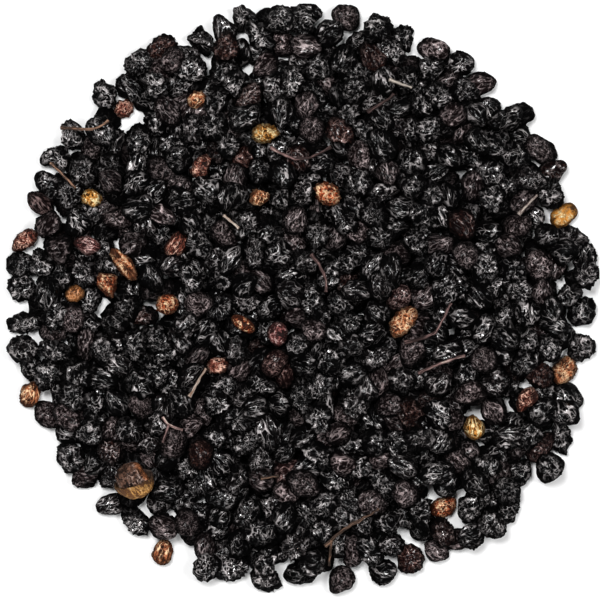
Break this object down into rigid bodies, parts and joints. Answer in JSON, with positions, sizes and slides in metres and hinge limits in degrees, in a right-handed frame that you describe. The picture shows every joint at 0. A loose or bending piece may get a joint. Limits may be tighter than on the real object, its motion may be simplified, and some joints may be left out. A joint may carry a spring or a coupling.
{
  "type": "elderberry cluster",
  "caption": "Round, shallow cluster of dried black elderberries with a few amber, orange and tan ones, broken stalks and a papery husk.",
  "frame": {"origin": "on the surface that the cluster lies on, under its middle berry", "axes": "+Z up, out of the surface; +X to the right and +Y up in the view from above"},
  "size_m": [0.0945, 0.0942, 0.0103],
  "materials": {
    "black": "wrinkled dry skin, dull with small glints",
    "amber": "dry, slightly waxy",
    "orange": "dry, slightly waxy",
    "tan": "dry and matt",
    "rust": "dry and matt",
    "mauve": "dry and dusty",
    "husk": "thin and papery",
    "stalk": "fibrous and matt"
  },
  "bodies": {
    "root": {"berries": "black", "berry_tan_1": "tan", "berry_amber_1": "amber", "berry_tan_2": "tan", "berry_orange_1": "orange", "berry_tan_3": "tan", "berry_rust_1": "rust", "berry_rust_2": "rust", "berry_orange_2": "orange", "berry_amber_2": "amber", "berry_tan_4": "tan", "berry_amber_3": "amber", "berry_orange_3": "orange", "berry_rust_3": "rust", "berry_tan_5": "tan", "berry_rust_4": "rust", "berry_amber_4": "amber", "berry_tan_6": "tan", "berry_orange_4": "orange", "berry_amber_5": "amber", "berry_rust_5": "rust", "berry_tan_7": "tan", "berry_orange_5": "orange", "berry_rust_6": "rust", "berry_mauve_1": "mauve", "berry_mauve_2": "mauve", "husk_berry": "mauve", "husk_shell": "husk", "stalk_1": "stalk", "stalk_2": "stalk", "stalk_3": "stalk", "stalk_4": "stalk", "stalk_5": "stalk", "stalk_6": "stalk", "stalk_7": "stalk", "stalk_8": "stalk", "stalk_9": "stalk", "stalk_10": "stalk", "stalk_11": "stalk", "stalk_12": "stalk", "stalk_13": "stalk", "stalk_14": "stalk"}
  },
  "joints": []
}
